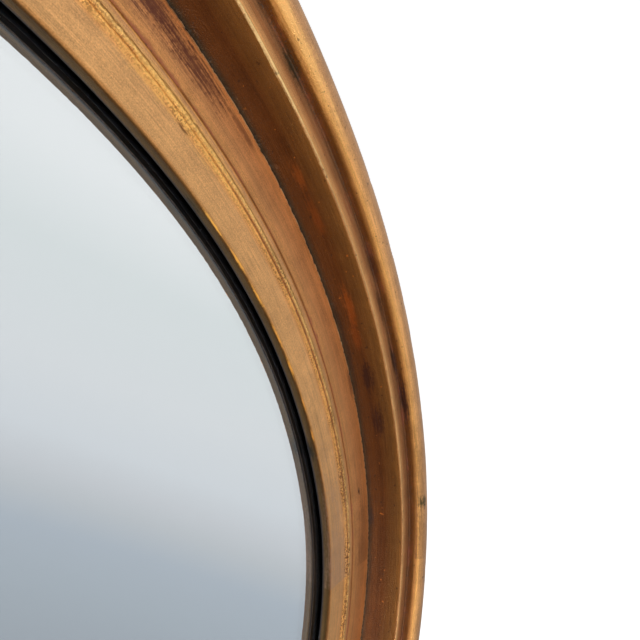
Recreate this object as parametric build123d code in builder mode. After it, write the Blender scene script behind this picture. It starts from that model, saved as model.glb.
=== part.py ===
from build123d import *
from math import atan2, cos, degrees, radians, sin
import os

os.makedirs("parts", exist_ok=True)

# Oval wall mirror. X runs to the right as seen from the front, Z up, and the front faces -Y.
# The origin is on the wall, behind the centre of the oval. "Off the wall" is the distance along -Y.
# "In" is the distance from the moulding's outer edge towards the glass, square to that edge.

# The oval: eight arcs that meet in tangents, two at the sides, two at the ends, four shoulders
oval_width = 510.0
oval_height = 660.0
side_arc_heading = 25.6
end_arc_heading = 56.0

# Base and outer moulding: how far in each feature lies
base_edge_in = 9.0
torus_radius = 6.8
torus_root_in = 3.6
arris_in = 25.0
arris_width = 1.6
cove_foot_in = 32.6
rebate_in = 66.0

# Outer moulding: how far each feature rises above the liner's lip
torus_top_rise = 39.1
step_rise = 28.8
arris_height = 1.0
cove_foot_rise = 5.0
cove_hollow = 1.7
back_hollow = 2.0

# Liner
liner_edge_in = 33.0
sight_in = 80.0
liner_edge_rise = 7.3
liner_flat_rise = 6.3
sight_rise = 6.6
liner_seat_rise = 1.5
liner_fit = 0.4
groove_in = 53.0
groove_width = 0.9
groove_depth = 0.7
bead_in = 57.0
bead_width = 3.0
bead_height = 0.9
sight_round = 0.8

# Glass, and what lies in front of it and behind it in the rebate
slip_thickness = 1.2
slip_setback = 2.4
glass_thickness = 5.0
film_thickness = 0.05
coat_thickness = 0.3
card_thickness = 4.0
board_thickness = 3.2
layer_gap = 0.1
glass_fit = 1.0
board_fit = 0.8

# Joints of the wood
dowel_radius = 4.0
dowel_length = 40.0
dowel_fit = 0.05
dowel_end_gap = 0.5
base_dowel_ins = [24.0, 50.0]
moulding_dowel_in = 18.0
moulding_dowel_height = 12.0
tongue_width = 18.0
tongue_thickness = 1.8
tongue_length = 24.0
tongue_fit = 0.05
tongue_in = 44.0
tongue_height = 1.5

# Turn buttons, and the screws they turn on
button_headings = {"upper_right": 30.0, "top": 90.0, "upper_left": 150.0,
                   "lower_left": 210.0, "bottom": 270.0, "lower_right": 330.0}
button_pivot_in = 57.0
button_inner_arm = 22.0
button_outer_arm = 8.0
button_width = 12.0
button_thickness = 1.5
button_lift = 0.3
button_edge = 0.4
pivot_radius = 1.9
pivot_fit = 0.08
pivot_length = 14.0
pivot_head_radius = 3.8
pivot_head_height = 1.6

# Screws
slot_width = 0.8
slot_depth = 0.7
screw_point = 3.0
screw_fit = 0.05
liner_screw_headings = [8.0, 65.0, 115.0, 172.0, 188.0, 245.0, 295.0, 352.0]
liner_screw_in = 42.0
liner_screw_radius = 1.6
liner_screw_head_radius = 3.2
liner_screw_head_height = 1.8
liner_screw_bite = 3.2
hanger_screw_radius = 1.8
hanger_screw_head_radius = 3.3
hanger_screw_head_height = 1.6
hanger_screw_length = 12.0

# Strap hangers and their rings
hanger_height = 128.0
hanger_in = 33.0
strap_width = 12.0
strap_thickness = 1.0
strap_length = 34.0
strap_corner = 3.0
strap_screw_drops = [8.0, 26.0]
barrel_lift = 0.4
wire_radius = 1.3
wire_fit = 0.08
ring_half_width = 10.0
ring_corner = 3.0
ring_side = 2.0

# Wall pads
pad_headings = [60.0, 120.0, 240.0, 300.0]
pad_in = 22.0
pad_radius = 6.0
pad_thickness = 6.0
pad_edge = 0.6

# Levels off the wall
frame_back = pad_thickness
board_back = frame_back
card_back = board_back + board_thickness + layer_gap
coat_back = card_back + card_thickness + layer_gap
glass_back = coat_back + coat_thickness + film_thickness
glass_front = glass_back + glass_thickness
lip = glass_front + slip_thickness
liner_seat = lip + liner_seat_rise
liner_flat = lip + liner_flat_rise
step = lip + step_rise
torus_centre = lip + torus_top_rise - torus_radius

# The base is joined on the axes of the oval, the moulding and the liner halfway round each shoulder,
# so that no joint of the base lies under one of theirs
base_joints = [0.0, 90.0, 180.0, 270.0]
shoulder_heading = (side_arc_heading + end_arc_heading) / 2
shoulder_joints = [shoulder_heading, 180 - shoulder_heading, 180 + shoulder_heading, 360 - shoulder_heading]
base_ends = {"upper_right": (0, 90), "upper_left": (90, 180),
             "lower_left": (180, 270), "lower_right": (270, 360)}
shoulder_ends = {"right": (-shoulder_heading, shoulder_heading),
                 "top": (shoulder_heading, 180 - shoulder_heading),
                 "left": (180 - shoulder_heading, 180 + shoulder_heading),
                 "bottom": (180 + shoulder_heading, 360 - shoulder_heading)}


def oval_arcs():
    """Centre, radius and both headings of each arc of the outer edge, anticlockwise from the right.

    A shoulder's radius is the mean of the half width and the half height. The radii of the side and
    end arcs follow, because the arcs together span the half width and the half height.
    """
    half_width, half_height = oval_width / 2, oval_height / 2
    shoulder = (half_width + half_height) / 2
    low, high = radians(side_arc_heading), radians(end_arc_heading)
    width_left = half_width - shoulder * (cos(low) - cos(high))
    height_left = half_height - shoulder * (sin(high) - sin(low))
    share = (1 - cos(low)) * (1 - sin(high)) - cos(high) * sin(low)
    side = (width_left * (1 - sin(high)) - height_left * cos(high)) / share
    end = (height_left * (1 - cos(low)) - width_left * sin(low)) / share
    side_x, end_z = half_width - side, half_height - end
    shoulder_x = side_x + (side - shoulder) * cos(low)
    shoulder_z = (side - shoulder) * sin(low)
    first, last = side_arc_heading, end_arc_heading
    return [
        (side_x, 0, side, -first, first),
        (shoulder_x, shoulder_z, shoulder, first, last),
        (0, end_z, end, last, 180 - last),
        (-shoulder_x, shoulder_z, shoulder, 180 - last, 180 - first),
        (-side_x, 0, side, 180 - first, 180 + first),
        (-shoulder_x, -shoulder_z, shoulder, 180 + first, 180 + last),
        (0, -end_z, end, 180 + last, 360 - last),
        (shoulder_x, -shoulder_z, shoulder, 360 - last, 360 - first),
    ]


def arcs_between(first, last):
    """The stretches of the oval's arcs from one heading to a later one, in order."""
    stretches = []
    for turn in (-360, 0, 360):
        for x, z, radius, start, end in oval_arcs():
            start, end = max(start + turn, first), min(end + turn, last)
            if start < end:
                stretches.append((x, z, radius, start, end))
    return stretches


def standing_plane(x, z, heading):
    """A plane square to the moulding at a heading: X points outward from (x, z), Y off the wall."""
    outward = Vector(cos(radians(heading)), 0, sin(radians(heading)))
    return Plane(origin=(x, 0, z), x_dir=outward, z_dir=outward.cross(Vector(0, -1, 0)))


def oval_plane(heading, inset, off_wall):
    """A plane at one place on the oval: X points outward, Y off the wall, Z along the moulding."""
    x, z, radius, _, _ = arcs_between(heading - 1, heading + 1)[0]
    base = standing_plane(x, z, heading)
    return Plane(base.from_local_coords((radius - inset, off_wall)), x_dir=base.x_dir, z_dir=base.z_dir)


def back_plane(heading, inset, off_wall=frame_back):
    """A plane at one place on the back of the frame that faces the wall, with X towards the glass."""
    spot = oval_plane(heading, inset, off_wall)
    return Plane(spot.origin, x_dir=-spot.x_dir, z_dir=(0, 1, 0))


def front_plane(off_wall):
    """A plane parallel to the wall that faces into the room, with X to the right and Y up."""
    return Plane(origin=(0, -off_wall, 0), x_dir=(1, 0, 0), z_dir=(0, -1, 0))


def hollow(start, end, depth):
    """An arc between two points, bowed to the left of the way from the first to the second."""
    way = Vector(*end) - Vector(*start)
    middle = (Vector(*start) + Vector(*end)) / 2 + Vector(-way.Y, way.X).normalized() * depth
    return ThreePointArc(start, middle, end)


def base_section(x, z, radius, heading):
    """Section of the base: a flat board, from the outer side to the rebate for the glass."""
    with BuildSketch(standing_plane(x, z, heading)) as section:
        with Locations((radius - rebate_in, frame_back)):
            Rectangle(rebate_in - base_edge_in, liner_seat - frame_back, align=Align.MIN)
    return section.sketch


def moulding_section(x, z, radius, heading):
    """Section of the outer moulding: hollow back, half round, step, arris and deep cove."""
    root_drop = (torus_radius**2 - (torus_radius - torus_root_in) ** 2) ** 0.5
    root_angle = degrees(atan2(-root_drop, torus_radius - torus_root_in))
    root = (radius - torus_root_in, torus_centre - root_drop)
    back_foot = (radius - base_edge_in, liner_seat)
    torus_foot = radius - 2 * torus_radius
    arris_start = (radius - arris_in + arris_width / 2, step)
    arris_end = (radius - arris_in - arris_width / 2, step)
    cove_foot = (radius - cove_foot_in, lip + cove_foot_rise)
    with BuildSketch(standing_plane(x, z, heading)) as section:
        with BuildLine():
            hollow(back_foot, root, back_hollow)
            CenterArc((radius - torus_radius, torus_centre), torus_radius, root_angle, 180 - root_angle)
            Polyline((torus_foot, torus_centre), (torus_foot, step), arris_start)
            ThreePointArc(arris_start, (radius - arris_in, step + arris_height), arris_end)
            hollow(arris_end, cove_foot, cove_hollow)
            Polyline(cove_foot, (cove_foot[0], liner_seat), back_foot)
        make_face()
    return section.sketch


def liner_section(x, z, radius, heading):
    """Section of the liner: sloping band, scored groove, double bead, flat, sight edge and lip."""
    outer_edge = radius - liner_edge_in
    groove_start = (radius - groove_in + groove_width / 2, liner_flat)
    groove_end = (radius - groove_in - groove_width / 2, liner_flat)
    bead = radius - bead_in
    sight = radius - sight_in
    sight_top = lip + sight_rise
    seat_end = radius - rebate_in - liner_fit
    with BuildSketch(standing_plane(x, z, heading)) as section:
        with BuildLine():
            Polyline((outer_edge, liner_seat), (outer_edge, lip + liner_edge_rise), groove_start)
            Polyline(groove_start, (radius - groove_in, liner_flat - groove_depth), groove_end,
                     (bead, liner_flat))
            for start in (bead, bead - bead_width):
                ThreePointArc((start, liner_flat), (start - bead_width / 2, liner_flat + bead_height),
                              (start - bead_width, liner_flat))
            Line((bead - 2 * bead_width, liner_flat), (sight + sight_round, sight_top))
            CenterArc((sight + sight_round, sight_top - sight_round), sight_round, 90, 90)
            Polyline((sight, sight_top - sight_round), (sight, lip), (seat_end, lip),
                     (seat_end, liner_seat), (outer_edge, liner_seat))
        make_face()
    return section.sketch


def curved_length(section, first, last):
    """A length of moulding: its section turned about the centre of each arc that it follows."""
    with BuildPart() as length:
        for x, z, radius, start, end in arcs_between(first, last):
            revolve(section(x, z, radius, start), axis=Axis((x, 0, z), (0, -1, 0)),
                    revolution_arc=end - start)
    return length.part


def oval_face(inset, off_wall):
    """A flat oval that follows the outer edge of the moulding at a distance inside it."""
    with BuildSketch(front_plane(off_wall)) as outline:
        with BuildLine():
            for x, z, radius, start, end in oval_arcs():
                CenterArc((x, z), radius - inset, start, end - start)
        make_face()
    return outline.sketch


def countersunk_shape(shank_radius, head_radius, head_height, length):
    """A countersunk screw without its slot, the top of its head at the origin and its point down."""
    with BuildPart() as shape:
        with BuildSketch(Plane.XZ):
            Polygon((0, 0), (head_radius, 0), (shank_radius, -head_height),
                    (shank_radius, screw_point - length), (0, -length), align=None)
        revolve(axis=Axis.Z)
    return shape.part


def countersunk_screw(shank_radius, head_radius, head_height, length):
    """A slotted countersunk wood screw, the top of its head at the origin and its point down."""
    with BuildPart() as screw:
        add(countersunk_shape(shank_radius, head_radius, head_height, length))
        Box(2 * head_radius, slot_width, 2 * slot_depth, mode=Mode.SUBTRACT)
    return screw.part


def round_head_screw(shank_radius, head_radius, head_height, length):
    """A slotted round-headed wood screw, the underside of its head at the origin."""
    with BuildPart() as screw:
        with BuildSketch(Plane.XZ):
            with BuildLine():
                Polyline((0, head_height), (0, -length), (shank_radius, screw_point - length),
                         (shank_radius, 0), (head_radius, 0))
                hollow((head_radius, 0), (0, head_height), -head_height / 4)
            make_face()
        revolve(axis=Axis.Z)
        with Locations((0, 0, head_height)):
            Box(2 * head_radius, slot_width, 2 * slot_depth, mode=Mode.SUBTRACT)
    return screw.part


# Places that a fastener shares with its holes
base_dowel_planes = [oval_plane(heading, inset, (frame_back + liner_seat) / 2)
                     for heading in base_joints for inset in base_dowel_ins]
moulding_dowel_planes = [oval_plane(heading, moulding_dowel_in, liner_seat + moulding_dowel_height)
                         for heading in shoulder_joints]
tongue_level = liner_seat + tongue_height + tongue_thickness / 2
tongue_planes = [oval_plane(heading, tongue_in, tongue_level) for heading in shoulder_joints]
pivot_planes = {name: back_plane(heading, button_pivot_in) for name, heading in button_headings.items()}
liner_screw_planes = [back_plane(heading, liner_screw_in) for heading in liner_screw_headings]
liner_screw_length = liner_seat - frame_back + liner_screw_bite

# The strap hangers stand upright where the side arcs reach the hangers' height
side_x, _, side_radius, _, _ = oval_arcs()[0]
hanger_x = side_x + ((side_radius - hanger_in) ** 2 - hanger_height**2) ** 0.5
hanger_planes = {side: Plane((sign * hanger_x, -frame_back, hanger_height), x_dir=(-1, 0, 0), z_dir=(0, 1, 0))
                 for side, sign in (("right", 1), ("left", -1))}
hanger_screw_planes = [Plane(plane.from_local_coords((0, -drop, strap_thickness)),
                             x_dir=plane.x_dir, z_dir=plane.z_dir)
                       for plane in hanger_planes.values() for drop in strap_screw_drops]

# Base: four curved boards, with holes for their dowels and for every screw in the back
liner_screw_hole = countersunk_shape(liner_screw_radius + screw_fit, liner_screw_head_radius + screw_fit,
                                     liner_screw_head_height + screw_fit, liner_screw_length + screw_fit)
for name, (first, last) in base_ends.items():
    with BuildPart() as base_length:
        add(curved_length(base_section, first, last))
        with Locations(*base_dowel_planes):
            Cylinder(dowel_radius + dowel_fit, dowel_length + 2 * dowel_end_gap, mode=Mode.SUBTRACT)
        with Locations(*liner_screw_planes):
            add(liner_screw_hole, mode=Mode.SUBTRACT)
        with Locations(*pivot_planes.values()):
            Cylinder(pivot_radius + screw_fit, 2 * pivot_length, mode=Mode.SUBTRACT)
        with Locations(*hanger_screw_planes):
            Cylinder(hanger_screw_radius + screw_fit, 2 * (hanger_screw_length + screw_fit),
                     mode=Mode.SUBTRACT)
    base_length.part.label = f"base_{name}"
    export_step(base_length.part, f"parts/base_{name}.step")

# Outer moulding: four lengths glued on the base, with a dowel across each joint
for name, (first, last) in shoulder_ends.items():
    with BuildPart() as moulding_length:
        add(curved_length(moulding_section, first, last))
        with Locations(*moulding_dowel_planes):
            Cylinder(dowel_radius + dowel_fit, dowel_length + 2 * dowel_end_gap, mode=Mode.SUBTRACT)
    moulding_length.part.label = f"moulding_{name}"
    export_step(moulding_length.part, f"parts/moulding_{name}.step")

# Dowels: two across each joint of the base, one across each joint of the moulding
for name, planes in (("base", base_dowel_planes), ("moulding", moulding_dowel_planes)):
    with BuildPart() as dowels:
        with Locations(*planes):
            Cylinder(dowel_radius, dowel_length)
    dowels.part.label = f"{name}_dowels"
    export_step(dowels.part, f"parts/{name}_dowels.step")

# Liner: four lengths, slotted for the loose tongues, screwed on from the back
for name, (first, last) in shoulder_ends.items():
    with BuildPart() as liner_length:
        add(curved_length(liner_section, first, last))
        with Locations(*tongue_planes):
            Box(tongue_width + 2 * tongue_fit, tongue_thickness + 2 * tongue_fit,
                tongue_length + 2 * tongue_fit, mode=Mode.SUBTRACT)
        with Locations(*liner_screw_planes):
            add(liner_screw_hole, mode=Mode.SUBTRACT)
    liner_length.part.label = f"liner_{name}"
    export_step(liner_length.part, f"parts/liner_{name}.step")

# A loose tongue across each joint of the liner
with BuildPart() as liner_tongues:
    with Locations(*tongue_planes):
        Box(tongue_width, tongue_thickness, tongue_length)
liner_tongues.part.label = "liner_tongues"
export_step(liner_tongues.part, "parts/liner_tongues.step")

# Screws through the base into the liner, their heads flush with the back
with BuildPart() as liner_screws:
    with Locations(*liner_screw_planes):
        add(countersunk_screw(liner_screw_radius, liner_screw_head_radius, liner_screw_head_height,
                              liner_screw_length))
liner_screws.part.label = "liner_screws"
export_step(liner_screws.part, "parts/liner_screws.step")

# Black slip between the lip and the glass, set back from the sight edge
with BuildPart() as slip:
    extrude(oval_face(rebate_in + glass_fit, glass_front), amount=slip_thickness)
    extrude(oval_face(sight_in - slip_setback, glass_front), amount=slip_thickness, mode=Mode.SUBTRACT)
slip.part.label = "slip"
export_step(slip.part, "parts/slip.step")

# Flat sheets in the rebate: the glass, its silvering, the card packing and the backing board
sheets = {"mirror_glass": (glass_fit, glass_back, glass_thickness),
          "silver_coat": (glass_fit, coat_back, coat_thickness),
          "card_packing": (glass_fit, card_back, card_thickness),
          "backing_board": (board_fit, board_back, board_thickness)}
for name, (edge_fit, back, thickness) in sheets.items():
    with BuildPart() as sheet:
        extrude(oval_face(rebate_in + edge_fit, back), amount=thickness)
    sheet.part.label = name
    export_step(sheet.part, f"parts/{name}.step")

# Turn buttons: flat steel with round ends, its long arm over the backing board
button_length = button_inner_arm + button_outer_arm
for name, plane in pivot_planes.items():
    with BuildPart() as button:
        with BuildSketch(plane.offset(button_lift)):
            with Locations(((button_inner_arm - button_outer_arm) / 2, 0)):
                SlotOverall(button_length, button_width)
            Circle(pivot_radius + pivot_fit, mode=Mode.SUBTRACT)
        extrude(amount=button_thickness)
        chamfer(button.faces().sort_by(Axis.Y)[-1].outer_wire().edges(), button_edge)
    button.part.label = f"turn_button_{name}"
    export_step(button.part, f"parts/turn_button_{name}.step")

# The screws that the turn buttons turn on, clear of them by the same lift at the head
with BuildPart() as turn_button_screws:
    with Locations(*[plane.offset(2 * button_lift + button_thickness) for plane in pivot_planes.values()]):
        add(round_head_screw(pivot_radius, pivot_head_radius, pivot_head_height, pivot_length))
turn_button_screws.part.label = "turn_button_screws"
export_step(turn_button_screws.part, "parts/turn_button_screws.step")

# Strap hangers: a steel strap rolled into a barrel at the top, with two screw holes
barrel_radius = wire_radius + wire_fit + strap_thickness
barrel_level = barrel_lift + barrel_radius
for side, plane in hanger_planes.items():
    barrel_plane = Plane(plane.from_local_coords((0, 0, barrel_level)), x_dir=plane.z_dir, z_dir=plane.x_dir)
    with BuildPart() as strap:
        with BuildSketch(plane) as strap_outline:
            with Locations((0, -strap_length / 2)):
                Rectangle(strap_width, strap_length)
            fillet(strap_outline.vertices().group_by(Axis.Y)[0], strap_corner)
            with Locations(*[(0, -drop) for drop in strap_screw_drops]):
                Circle(hanger_screw_radius + screw_fit, mode=Mode.SUBTRACT)
        extrude(amount=strap_thickness)
        with Locations(barrel_plane):
            Cylinder(barrel_radius, strap_width)
            Cylinder(wire_radius + wire_fit, strap_width, mode=Mode.SUBTRACT)
    strap.part.label = f"hanger_strap_{side}"
    export_step(strap.part, f"parts/hanger_strap_{side}.step")

# Rings: steel wire bent to a D, its straight side in the barrel, hanging over the strap
bar_end = ring_half_width - ring_corner
for side, plane in hanger_planes.items():
    ring_plane = plane.offset(barrel_level)
    with BuildPart() as ring:
        with BuildLine(ring_plane):
            Line((-bar_end, 0), (bar_end, 0))
            CenterArc((bar_end, -ring_corner), ring_corner, 90, -90)
            Line((ring_half_width, -ring_corner), (ring_half_width, -ring_corner - ring_side))
            CenterArc((0, -ring_corner - ring_side), ring_half_width, 0, -180)
            Line((-ring_half_width, -ring_corner - ring_side), (-ring_half_width, -ring_corner))
            CenterArc((-bar_end, -ring_corner), ring_corner, 180, -90)
        with BuildSketch(Plane(ring_plane.from_local_coords((-bar_end, 0)), z_dir=ring_plane.x_dir)):
            Circle(wire_radius)
        sweep()
    ring.part.label = f"hanger_ring_{side}"
    export_step(ring.part, f"parts/hanger_ring_{side}.step")

# Two screws through each strap
with BuildPart() as hanger_screws:
    with Locations(*hanger_screw_planes):
        add(round_head_screw(hanger_screw_radius, hanger_screw_head_radius, hanger_screw_head_height,
                             hanger_screw_length))
hanger_screws.part.label = "hanger_screws"
export_step(hanger_screws.part, "parts/hanger_screws.step")

# Felt pads that keep the frame and its fittings off the wall
with BuildPart() as wall_pads:
    with Locations(*[back_plane(heading, pad_in) for heading in pad_headings]):
        Cylinder(pad_radius, pad_thickness, align=(Align.CENTER, Align.CENTER, Align.MIN))
    fillet(wall_pads.edges().group_by(Axis.Y)[-1], pad_edge)
wall_pads.part.label = "wall_pads"
export_step(wall_pads.part, "parts/wall_pads.step")
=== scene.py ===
from math import cos, radians, sin
import bpy
import numpy as np
from mathutils import Matrix, Vector


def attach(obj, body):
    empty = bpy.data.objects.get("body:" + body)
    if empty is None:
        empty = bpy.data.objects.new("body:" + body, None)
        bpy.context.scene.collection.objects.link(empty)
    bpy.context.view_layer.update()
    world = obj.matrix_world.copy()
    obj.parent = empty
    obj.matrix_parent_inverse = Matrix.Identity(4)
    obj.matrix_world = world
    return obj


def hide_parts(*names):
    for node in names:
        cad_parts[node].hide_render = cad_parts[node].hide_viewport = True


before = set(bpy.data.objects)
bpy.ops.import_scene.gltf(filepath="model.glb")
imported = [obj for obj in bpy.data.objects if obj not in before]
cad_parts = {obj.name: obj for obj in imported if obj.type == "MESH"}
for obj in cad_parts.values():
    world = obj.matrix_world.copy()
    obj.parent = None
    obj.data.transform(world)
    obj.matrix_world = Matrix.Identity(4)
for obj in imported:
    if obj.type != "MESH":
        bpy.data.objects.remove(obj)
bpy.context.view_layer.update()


# Outer moulding: four curved lengths of wood, with a half round on the outside, a flat step, a thin
# raised arris and a deep cove. Gesso, red clay and gold leaf cover them, toned dark brown in the cove.
# The bright bands on the half round and the arris are painted highlights. The dark under the half
# round, at the cove's foot and in dimmer places lower round the oval is painted shade, and the cove's
# dark brown is partly painted shade. They are glued on the base, and the gilding hides the joints.
half_width, half_height = 0.255, 0.330
side_end, shoulder_end = 25.6, 56.0
lip_level = 0.01995
seat_level = lip_level + 0.0015
step_level = lip_level + 0.0288
moulding_step = 0.00125
moulding_ends = {"right": (-40.8, 40.8), "top": (40.8, 139.2), "left": (139.2, 220.8),
                 "bottom": (220.8, 319.2)}


def oval_arcs():
    """The eight arcs of the outer edge: the heading each starts at, its centre's X and Z, its radius.
    The shoulder radius is the mean of the half width and half height, and the other two follow,
    because the arcs together span both."""
    low, high = radians(side_end), radians(shoulder_end)
    shoulder = (half_width + half_height) / 2
    across = half_width - shoulder * (cos(low) - cos(high))
    up = half_height - shoulder * (sin(high) - sin(low))
    share = (1 - cos(low)) * (1 - sin(high)) - cos(high) * sin(low)
    side = (across * (1 - sin(high)) - up * cos(high)) / share
    end = (up * (1 - cos(low)) - across * sin(low)) / share
    side_x, end_z = half_width - side, half_height - end
    corner_x = side_x + (side - shoulder) * cos(low)
    corner_z = (side - shoulder) * sin(low)
    a, b = side_end, shoulder_end
    return np.array([
        (-b, corner_x, -corner_z, shoulder), (-a, side_x, 0, side), (a, corner_x, corner_z, shoulder),
        (b, 0, end_z, end), (180 - b, -corner_x, corner_z, shoulder), (180 - a, -side_x, 0, side),
        (180 + a, -corner_x, -corner_z, shoulder), (180 + b, 0, -end_z, end),
        (360 - b, corner_x, -corner_z, shoulder), (360 - a, side_x, 0, side)])


arcs = oval_arcs()
arc_starts = np.append(arcs[:, 0], 360 + side_end)
arc_runs = np.append(0, np.cumsum(np.radians(np.diff(arc_starts)) * arcs[:, 3]))
whole_run = np.interp(360, arc_starts, arc_runs) - np.interp(0, arc_starts, arc_runs)


def run_at(heading):
    """Distance along the outer edge to a heading: every arc adds its radius times its turn."""
    return np.interp(heading, arc_starts, arc_runs)


def on_oval(heading, inset):
    """X and Z at a heading and a distance inside the outer edge: the arc's centre, plus its radius
    less that distance, in the direction of the heading."""
    arc = arcs[np.clip(np.searchsorted(arc_starts, heading, side="right") - 1, 0, len(arcs) - 1)]
    out = arc[..., 3] - inset
    angle = np.radians(heading)
    return arc[..., 1] + out * np.cos(angle), arc[..., 2] + out * np.sin(angle)


def straight(start, end):
    """Points a quarter of a millimetre apart from start towards end, leaving out the end."""
    count = max(2, int(np.hypot(*np.subtract(end, start)) / 0.00025))
    return np.linspace(start, end, count, endpoint=False)


def bowed(start, end, bow):
    """A straight run pushed to the right of its way by a parabola that is highest halfway."""
    points = straight(start, end)
    share = np.linspace(0, 1, len(points), endpoint=False)[:, None]
    way = np.subtract(end, start)
    return points + 4 * bow * share * (1 - share) * np.array((way[1], -way[0])) / np.hypot(*way)


def rounded(centre, radius, first, last):
    """Points on a circle from one angle to another: centre plus radius times cosine and sine."""
    angle = np.radians(np.linspace(first, last, int(radius * abs(radians(last - first)) / 0.00025)))
    return np.array(centre) + radius * np.stack([np.cos(angle), np.sin(angle)], 1)


def softened(outline, softness, coarse_before, coarse_after):
    """A closed section with its corners worn round: even points, each averaged with its neighbours
    by a bell curve. Dense in front, and one point in eight on the stretches that aren't seen."""
    closed = np.vstack([outline, outline[:1]])
    length = np.append(0, np.cumsum(np.hypot(*np.diff(closed, axis=0).T)))
    count = int(length[-1] / 0.00025)
    even = np.linspace(0, length[-1], count, endpoint=False)
    points = np.stack([np.interp(even, length, closed[:, i]) for i in (0, 1)], 1)
    reach = np.arange(-8, 9)
    bell = np.exp(-0.5 * (reach * 0.00025 / softness) ** 2)
    worn = sum(w * np.roll(points, -k, axis=0) for w, k in zip(bell / bell.sum(), reach))
    seen = (even > coarse_before) & (even < coarse_after)
    kept = np.where(seen, np.arange(count) % 2 == 0, np.arange(count) % 8 == 0)
    ahead, behind = np.roll(worn, -1, axis=0), np.roll(worn, 1, axis=0)
    along = (ahead - behind) / np.hypot(*(ahead - behind).T)[:, None]
    inward = np.stack([along[:, 1], -along[:, 0]], 1)
    return worn[kept], inward[kept], even[kept], length[-1]


def unevenness(around, across, cells_round, cells_across, seed):
    """Smooth random heights from 0 to 1: random values at the corners of a grid that closes on
    itself round the oval, eased between the corners."""
    grid = np.random.default_rng(seed).random((cells_round, cells_across + 2))
    u, v = around * cells_round, np.clip(across, 0, 1) * cells_across
    i, j = np.floor(u).astype(int), np.floor(v).astype(int)
    fu, fv = u - i, v - j
    fu, fv = fu * fu * (3 - 2 * fu), fv * fv * (3 - 2 * fv)
    i0, i1 = i % cells_round, (i + 1) % cells_round
    return ((grid[i0, j] * (1 - fu) + grid[i1, j] * fu) * (1 - fv)
            + (grid[i0, j + 1] * (1 - fu) + grid[i1, j + 1] * fu) * fv)


def bump_between(value, low, high, soft):
    """1 between low and high, eased to 0 over a soft width outside them."""
    rise = np.clip((value - low) / soft + 1, 0, 1)
    fall = np.clip((high - value) / soft + 1, 0, 1)
    return rise * rise * (3 - 2 * rise) * fall * fall * (3 - 2 * fall)


def dent(heading, developed, where, at, length, width):
    """A smooth hollow 1 deep at one place: a bell curve along the moulding times one across it."""
    off = (run_at(heading) - run_at(where) + whole_run / 2) % whole_run - whole_run / 2
    return np.exp(-(off / length) ** 2 * 2 - ((developed - at) / width) ** 2 * 2)


def carried_round(name, section, first, last, spacing, relief):
    """A closed section carried round the oval from one heading to another. Each point is sunk along
    the section's inward normal by relief(heading, distance round the section)."""
    points, inward, developed, whole = section
    turns = max(2, int(np.ceil((run_at(last) - run_at(first)) / spacing)))
    heading = np.interp(np.linspace(run_at(first), run_at(last), turns + 1), arc_runs, arc_starts)
    heading[0], heading[-1] = first, last
    h, s = np.meshgrid(heading, developed, indexing="ij")
    sunk = relief(h, s)
    inset = points[:, 0] + sunk * inward[:, 0]
    level = points[:, 1] + sunk * inward[:, 1]
    x, z = on_oval(h, inset)
    rows, columns = h.shape
    corner = np.stack([x, -level, z], -1).reshape(-1, 3)
    i, j = np.meshgrid(np.arange(rows - 1), np.arange(columns), indexing="ij")
    k = (j + 1) % columns
    quads = np.stack([i * columns + j, i * columns + k, (i + 1) * columns + k, (i + 1) * columns + j], -1)
    ends = [np.arange(columns)[::-1].tolist(), ((rows - 1) * columns + np.arange(columns)).tolist()]
    mesh = bpy.data.meshes.new(name)
    mesh.from_pydata(corner.tolist(), [], quads.reshape(-1, 4).tolist() + ends)
    runs = run_at(heading)
    reach = np.append(developed, whole)
    across = np.stack([np.stack([runs[i], reach[j]], -1), np.stack([runs[i], reach[j + 1]], -1),
                       np.stack([runs[i + 1], reach[j + 1]], -1), np.stack([runs[i + 1], reach[j]], -1)], -2)
    caps = [np.stack([np.full(columns, runs[0]), developed[::-1]], 1),
            np.stack([np.full(columns, runs[-1]), developed], 1)]
    layer = mesh.uv_layers.new(name="around")
    layer.data.foreach_set("uv", np.concatenate([across.reshape(-1, 2)] + caps).astype(np.float32).ravel())
    mesh.polygons.foreach_set("use_smooth", [True] * len(mesh.polygons))
    mesh.set_sharp_from_angle(angle=radians(50))
    mesh.validate()
    piece = bpy.data.objects.new(name, mesh)
    bpy.context.scene.collection.objects.link(piece)
    return piece


def paint(red, green, blue):
    """A colour as it looks on a screen, from 0 to 255, as the linear numbers that a material holds."""
    share = np.array((red, green, blue)) / 255
    return (*np.where(share > 0.04045, ((share + 0.055) / 1.055) ** 2.4, share / 12.92), 1.0)


def add(tree, kind, inputs=(), **settings):
    """Adds a node, and fills its inputs with numbers or joins them to other nodes' outputs."""
    node = tree.nodes.new(kind)
    for key, value in settings.items():
        setattr(node, key, value)
    for key, value in dict(inputs).items():
        if isinstance(value, bpy.types.NodeSocket):
            tree.links.new(value, node.inputs[key])
        else:
            node.inputs[key].default_value = value
    return node


def sum_of(tree, operation, *values, clamp=False):
    """One sum on numbers or outputs."""
    return add(tree, "ShaderNodeMath", enumerate(values), operation=operation, use_clamp=clamp).outputs[0]


def blended(tree, share, under, over, way="MIX"):
    """Two colours mixed by a share from 0 to 1."""
    return add(tree, "ShaderNodeMix", {0: share, 6: under, 7: over}, data_type="RGBA",
               blend_type=way).outputs[2]


def eased(tree, value, low, high, start=0.0, end=1.0):
    """A value turned into start below low and end above high, with a smooth change between."""
    return add(tree, "ShaderNodeMapRange", {0: value, 1: low, 2: high, 3: start, 4: end},
               interpolation_type="SMOOTHSTEP").outputs[0]


def colour_bands(tree, value, stops):
    """A colour for every value from 0 to 1, blended between (value, colour) stops."""
    node = add(tree, "ShaderNodeValToRGB", {0: value})
    ramp = node.color_ramp
    for k, (at, colour) in enumerate(stops):
        stop = ramp.elements[k] if k < 2 else ramp.elements.new(at)
        stop.position, stop.color = at, colour
    for k, (at, colour) in enumerate(stops[:2]):
        ramp.elements[k].position = at
    return node.outputs[0]


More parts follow.
